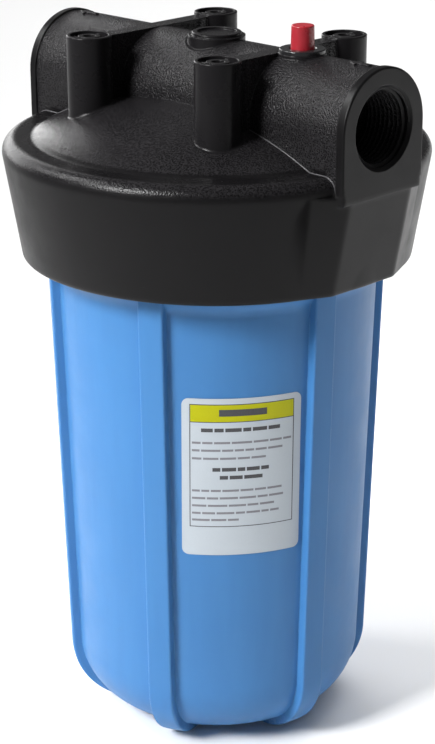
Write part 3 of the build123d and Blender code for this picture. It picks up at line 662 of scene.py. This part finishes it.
def make_port_thread(name, side):
    """Helical ridge on the wall of a port. side is +1 for the inlet and -1 for the outlet."""
    turns = THREAD_LENGTH / THREAD_PITCH
    count = round(turns * THREAD_STEPS)
    rows = []
    for i in range(count + 1):
        turn = i / THREAD_STEPS
        depth = THREAD_START + turn * THREAD_PITCH
        angle = side * 2 * pi * turn
        fade = min(1.0, THREAD_FADE * turn, THREAD_FADE * (turns - turn))
        root = PORT_R + THREAD_SINK
        crest = PORT_R - THREAD_END_RISE - fade * (PORT_R - THREAD_CREST_R + depth * THREAD_TAPER)
        row = []
        for radius, shift in (
            (root, -THREAD_ROOT_HALF),
            (crest, -THREAD_CREST_HALF),
            (crest, THREAD_CREST_HALF),
            (root, THREAD_ROOT_HALF),
        ):
            x = side * (FACE_X - depth - shift)
            row.append(Vector((x, radius * cos(angle), PORT_AXIS_Z + radius * sin(angle))))
        rows.append(row)
    mesh = bmesh.new()
    add_grid(mesh, rows, closed_across=True, cap_ends=True)
    piece = make_piece(name, mesh, FINISHES["cap"], smooth=False)
    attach(piece, "cap")


make_port_thread("inlet_port_thread", 1)
make_port_thread("outlet_port_thread", -1)


# ======== Raised flow arrows on the crown of the barrel, both pointing from inlet to outlet ========
ARROW_LENGTH = 11.0 * MM
ARROW_HEAD = 5.0 * MM
ARROW_HALF = 3.4 * MM
ARROW_SHAFT = 1.3 * MM
ARROW_RISE = 0.6 * MM
ARROW_SINK = 0.2 * MM
ARROW_DRAFT = 0.12 * MM
ARROW_X = 80 * MM


def make_arrow(name, middle_x):
    """Arrow that lies on the barrel and points along -X."""
    tip = middle_x - ARROW_LENGTH / 2
    tail = middle_x + ARROW_LENGTH / 2
    neck = tip + ARROW_HEAD
    outline = (
        (tip, 0.0), (neck, ARROW_HALF), (neck, ARROW_SHAFT), (tail, ARROW_SHAFT),
        (tail, -ARROW_SHAFT), (neck, -ARROW_SHAFT), (neck, -ARROW_HALF),
    )
    mesh = bmesh.new()
    lower, upper = [], []
    for ring, radius, draft in (
        (lower, BARREL_R - ARROW_SINK, 0.0),
        (upper, BARREL_R + ARROW_RISE, ARROW_DRAFT),
    ):
        for x, y in outline:
            side = (y > 0) - (y < 0)
            inner_y = y - side * draft
            ring.append(mesh.verts.new((x, inner_y, PORT_AXIS_Z + sqrt(radius**2 - inner_y**2))))
    mesh.faces.new(upper)
    mesh.faces.new(list(reversed(lower)))
    for i in range(len(outline)):
        k = (i + 1) % len(outline)
        mesh.faces.new((lower[i], lower[k], upper[k], upper[i]))
    piece = make_piece(name, mesh, FINISHES["cap"], smooth=False)
    rounding = piece.modifiers.new("moulded_edges", "BEVEL")
    rounding.width = 0.2 * MM
    rounding.segments = 2
    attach(piece, "cap")


make_arrow("inlet_flow_arrow", ARROW_X)
make_arrow("outlet_flow_arrow", -ARROW_X)


# ======== Fine ridges where the barrel's sides run down into the dome, coloured light as a painted highlight along the crease ===
RIDGE_R = 0.35 * MM
RIDGE_STEPS = 60
# Painted highlight: the ridges are coloured far lighter than the cap, standing in for the light caught
# along the crease.
RIDGE_PAINTED_HIGHLIGHT = plastic_finish("cap_ridge_painted_highlight", (0.050, 0.049, 0.052), (0.075, 0.073, 0.078), 0.22)


def top_height(radius):
    """Height of the cap's dome, shelf or shoulder this far from the axis."""
    rise = DOME_TOP_Z - SHELF_Z
    dome_r = (DOME_FOOT_R**2 + rise**2) / (2 * rise)
    if radius < DOME_FOOT_R:
        return DOME_TOP_Z - dome_r + sqrt(dome_r**2 - radius**2)
    drop = max(0.0, radius - SHOULDER_START_R)
    return SHELF_Z - SHOULDER_R + sqrt(SHOULDER_R**2 - min(drop, SHOULDER_R) ** 2)


def make_highlight_ridge(name, end, side):
    """Thin light-coloured ridge in one corner, a painted highlight along the crease: end is +1 towards
    the inlet, and side is -1 at the front.
    """
    mesh = bmesh.new()
    points = []
    y = side * BARREL_R
    for i in range(RIDGE_STEPS + 1):
        x = end * (BOSS_HALF + (LIP_X - BOSS_HALF) * i / RIDGE_STEPS)
        points.append(Vector((x, y, top_height(sqrt(x**2 + y**2)))))
    add_strand(mesh, points, RIDGE_R, sides=8)
    piece = make_piece(name, mesh, RIDGE_PAINTED_HIGHLIGHT)
    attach(piece, "cap")


for ridge_name, ridge_end, ridge_side in (
    ("inlet_front_highlight_ridge", 1, -1),
    ("inlet_rear_highlight_ridge", 1, 1),
    ("outlet_front_highlight_ridge", -1, -1),
    ("outlet_rear_highlight_ridge", -1, 1),
):
    make_highlight_ridge(ridge_name, ridge_end, ridge_side)


# ======== Relief spring: closed end coils ==================================================
SPRING_WIRE_R = 0.3 * MM
SPRING_TURNS = 8
SPRING_STEPS = 32
SPRING_END_RISE = 2.2 * SPRING_WIRE_R


def make_spring():
    """Coil whose first and last turns lie nearly flat."""
    coil_r = (spring_high.x - spring_low.x) / 2 - SPRING_WIRE_R
    low = spring_low.z + SPRING_WIRE_R
    height = spring_high.z - spring_low.z - 2 * SPRING_WIRE_R
    points = []
    steps = SPRING_TURNS * SPRING_STEPS
    closed = 1 / SPRING_TURNS
    for i in range(steps + 1):
        share = i / steps
        if share < closed:
            z = low + SPRING_END_RISE * share / closed
        elif share > 1 - closed:
            z = low + height - SPRING_END_RISE * (1 - share) / closed
        else:
            open_share = (share - closed) / (1 - 2 * closed)
            z = low + SPRING_END_RISE + (height - 2 * SPRING_END_RISE) * open_share
        angle = 2 * pi * SPRING_TURNS * share
        points.append(Vector((RELIEF_X + coil_r * cos(angle), coil_r * sin(angle), z)))
    mesh = bmesh.new()
    add_strand(mesh, points, SPRING_WIRE_R, sides=8)
    piece = make_piece("relief_coil_spring", mesh, FINISHES["relief_spring"])
    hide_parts("relief_spring")
    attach(piece, "cap")
    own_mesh(piece)


make_spring()


# ======== Cartridge: rounded pleats, and the nets inside and outside them ========
PLEAT_COUNT = 48
PLEAT_STEPS = 14
PLEAT_ROWS = 16
PLEAT_LEAN = 0.08
PLEAT_CLEARANCE = 0.6 * MM
FOLD_ROUND = 0.55
SHEET = 0.7 * MM
SKIN_SHARE = 0.8
NET_STEPS = 48
NET_CROSSING = 0.6


def fold_wave(share):
    """0 in a valley, 1 at a tip, with rounded turns."""
    ramp = 1 - abs(2 * share - 1)
    swing = cos(pi * ramp)
    return 0.5 - 0.5 * swing * (FOLD_ROUND + (1 - FOLD_ROUND) * abs(swing))


def make_pleats():
    """Pleated sheet with two skins, whose folds lean a little to and fro up their height."""
    outer = pleats_high.x
    inner = mesh_high.x + PLEAT_CLEARANCE
    rows = []
    for level in range(PLEAT_ROWS + 1):
        z = pleats_low.z + (pleats_high.z - pleats_low.z) * level / PLEAT_ROWS
        outside, inside = [], []
        for pleat in range(PLEAT_COUNT):
            for step in range(PLEAT_STEPS):
                share = step / PLEAT_STEPS
                lean = PLEAT_LEAN * sin(pleat * 2.4 + level * 0.35) * sin(pi * level / PLEAT_ROWS)
                angle = 2 * pi * (pleat + share + lean * fold_wave(share)) / PLEAT_COUNT
                radius = inner + SHEET + (outer - inner - SHEET) * fold_wave(share)
                outside.append(Vector((radius * cos(angle), radius * sin(angle), z)))
        count = len(outside)
        for i, point in enumerate(outside):
            along = outside[(i + 1) % count] - outside[i - 1]
            normal = Vector((along.y, -along.x, 0)).normalized()
            inside.append(point - normal * SHEET * SKIN_SHARE)
        rows.append((outside, inside))
    mesh = bmesh.new()
    skins = [add_grid(mesh, [row[k] for row in rows], closed_across=True) for k in (0, 1)]
    count = len(skins[0][0])
    for end in (0, -1):
        for i in range(count):
            k = (i + 1) % count
            mesh.faces.new((skins[0][end][i], skins[0][end][k], skins[1][end][k], skins[1][end][i]))
    piece = make_piece("cartridge_pleated_sheet", mesh, FINISHES["cartridge_pleats"])
    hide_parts("cartridge_pleats")
    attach(piece, "cartridge")


def make_net(name, node, low, high, middle_r, strand_r, strands):
    """Extruded netting: two families of slanted strands, one lying on the other."""
    height = high.z - low.z - 2 * strand_r
    mesh = bmesh.new()
    turn = height / middle_r
    offset = NET_CROSSING * strand_r
    for lean, radius in ((1, middle_r - offset), (-1, middle_r + offset)):
        for strand in range(strands):
            start = 2 * pi * strand / strands
            points = []
            for i in range(NET_STEPS + 1):
                angle = start + lean * turn * i / NET_STEPS
                z = low.z + strand_r + height * i / NET_STEPS
                points.append(Vector((radius * cos(angle), radius * sin(angle), z)))
            add_strand(mesh, points, strand_r, sides=5)
    piece = make_piece(name, mesh, FINISHES[node])
    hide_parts(node)
    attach(piece, "cartridge")


make_pleats()
make_net(
    "cartridge_outer_netting", "cartridge_outer_net", net_low, net_high,
    net_high.x - 0.4 * MM, 0.24 * MM, 56,
)
make_net(
    "cartridge_inner_netting", "cartridge_inner_mesh", mesh_low, mesh_high,
    mesh_high.x - 0.33 * MM, 0.2 * MM, 24,
)


# ======== Camera ========
CAMERA_AT = Vector((0.6274, -0.6377, 0.4839))
CAMERA_AZIMUTH = radians(44.54)
CAMERA_ELEVATION = radians(22.15)
CAMERA_ROLL = radians(-0.14)
CAMERA_LENS = 102.47
CAMERA_SHIFT = 0.11


def back_from(azimuth, elevation):
    """Direction from the object towards a camera at this azimuth and elevation."""
    return Vector(
        (sin(azimuth) * cos(elevation), -cos(azimuth) * cos(elevation), sin(elevation))
    )


def make_camera():
    """Camera at the photograph's viewing angle."""
    data = bpy.data.cameras.new("camera")
    data.sensor_fit = "AUTO"
    data.sensor_width = 36.0
    data.lens = CAMERA_LENS
    data.shift_y = CAMERA_SHIFT
    camera = bpy.data.objects.new("camera", data)
    bpy.context.scene.collection.objects.link(camera)
    camera.rotation_mode = "QUATERNION"
    camera.location = CAMERA_AT
    look = (-back_from(CAMERA_AZIMUTH, CAMERA_ELEVATION)).to_track_quat("-Z", "Y")
    camera.rotation_quaternion = look @ Quaternion((0, 0, 1), CAMERA_ROLL)
    bpy.context.scene.camera = camera


make_camera()


# ======== Studio: pale floor, bright soft backdrop light, softboxes ========
TOWARDS = back_from(CAMERA_AZIMUTH, 0)
RIGHT = Vector((0, 0, 1)).cross(TOWARDS)
OBJECT_MIDDLE = (cad_low + cad_high) / 2


def studio_place(right, towards, up):
    """Place given from the object's foot, as the photographer stands."""
    return right * RIGHT + towards * TOWARDS + Vector((0, 0, up))


KEY_AT = studio_place(-1.05, 0.80, 1.1)
LEFT_AT = studio_place(-1.25, 0.10, 0.65)
BARREL_LIGHT_AT = studio_place(-1.0, -0.25, 1.15)
BACKDROP_AT = studio_place(0.35, -1.5, 1.9)
BACKDROP_AIM = studio_place(0.35, -1.5, 0.0)
RIGHT_FLOOR_AT = studio_place(1.3, 0.0, 1.2)
RIGHT_FLOOR_AIM = studio_place(1.3, 0.0, 0.0)

# Soft edges of the room's glow, as how far a direction points left, away from the camera and up.
GLOW_RIGHT_EDGE = (0.12, 0.23)
GLOW_LEFT_EDGE = (0.50, 0.70)
GLOW_TOP_EDGE = (0.26, 0.55)
GLOW_STRENGTH = 3.4
ROOM_STRENGTH = 0.12


def make_floor():
    """Wide round floor that the sump stands on."""
    mesh = bmesh.new()
    bmesh.ops.create_circle(mesh, cap_ends=True, segments=96, radius=14.0)
    floor = make_piece("floor", mesh, floor_finish(), smooth=False)
    floor.location.z = cad_low.z


def make_softbox(name, at, width, height, power, aim=OBJECT_MIDDLE, spread=180):
    """Area light that points at the object, or at another place."""
    data = bpy.data.lights.new(name, "AREA")
    data.shape = "RECTANGLE"
    data.size = width
    data.size_y = height
    data.energy = power
    data.spread = radians(spread)
    light = bpy.data.objects.new(name, data)
    bpy.context.scene.collection.objects.link(light)
    light.location = at
    light.rotation_euler = (aim - at).to_track_quat("-Z", "Y").to_euler()
    return light


def make_world():
    """Dim room, with a bright low glow behind and to the left of the object as the camera sees it."""
    world = bpy.data.worlds.new("studio")
    bpy.context.scene.world = world
    world.use_nodes = True
    tree = world.node_tree
    nodes, links = tree.nodes, tree.links
    direction = nodes.new("ShaderNodeTexCoord").outputs["Generated"]

    def facing(toward, low, high, to_low, to_high):
        """Strength that runs from to_low to to_high as directions turn toward this one."""
        along = nodes.new("ShaderNodeVectorMath")
        along.operation = "DOT_PRODUCT"
        links.new(direction, along.inputs[0])
        along.inputs[1].default_value = toward
        ramp = nodes.new("ShaderNodeMapRange")
        ramp.interpolation_type = "SMOOTHSTEP"
        links.new(along.outputs["Value"], ramp.inputs["Value"])
        ramp.inputs["From Min"].default_value = low
        ramp.inputs["From Max"].default_value = high
        ramp.inputs["To Min"].default_value = to_low
        ramp.inputs["To Max"].default_value = to_high
        return ramp.outputs[0]

    glow = facing(-RIGHT, *GLOW_RIGHT_EDGE, 0.0, 1.0)
    for share in (
        facing(-TOWARDS, *GLOW_LEFT_EDGE, 0.0, 1.0),
        facing(Vector((0, 0, 1)), *GLOW_TOP_EDGE, 1.0, 0.0),
    ):
        product = nodes.new("ShaderNodeMath")
        product.operation = "MULTIPLY"
        links.new(glow, product.inputs[0])
        links.new(share, product.inputs[1])
        glow = product.outputs[0]
    total = nodes.new("ShaderNodeMath")
    total.operation = "MULTIPLY_ADD"
    links.new(glow, total.inputs[0])
    total.inputs[1].default_value = GLOW_STRENGTH
    total.inputs[2].default_value = ROOM_STRENGTH
    links.new(total.outputs[0], nodes["Background"].inputs["Strength"])
    nodes["Background"].inputs["Color"].default_value = (1, 1, 1, 1)


make_floor()
make_world()
make_softbox("key_softbox", KEY_AT, width=0.5, height=0.5, power=4.8, spread=60)
make_softbox("barrel_softbox", BARREL_LIGHT_AT, width=0.4, height=0.4, power=0.95, spread=60)
left = make_softbox("left_softbox", LEFT_AT, width=0.9, height=0.7, power=0.40, spread=45)
backdrop = make_softbox(
    "backdrop_softbox", BACKDROP_AT, width=2.8, height=2.6, power=60, aim=BACKDROP_AIM
)
right_floor = make_softbox(
    "right_floor_softbox", RIGHT_FLOOR_AT, width=0.8, height=0.8, power=7, aim=RIGHT_FLOOR_AIM, spread=90
)
for light in (left, backdrop, right_floor):
    light.visible_glossy = False
bpy.context.scene.view_settings.view_transform = "Standard"
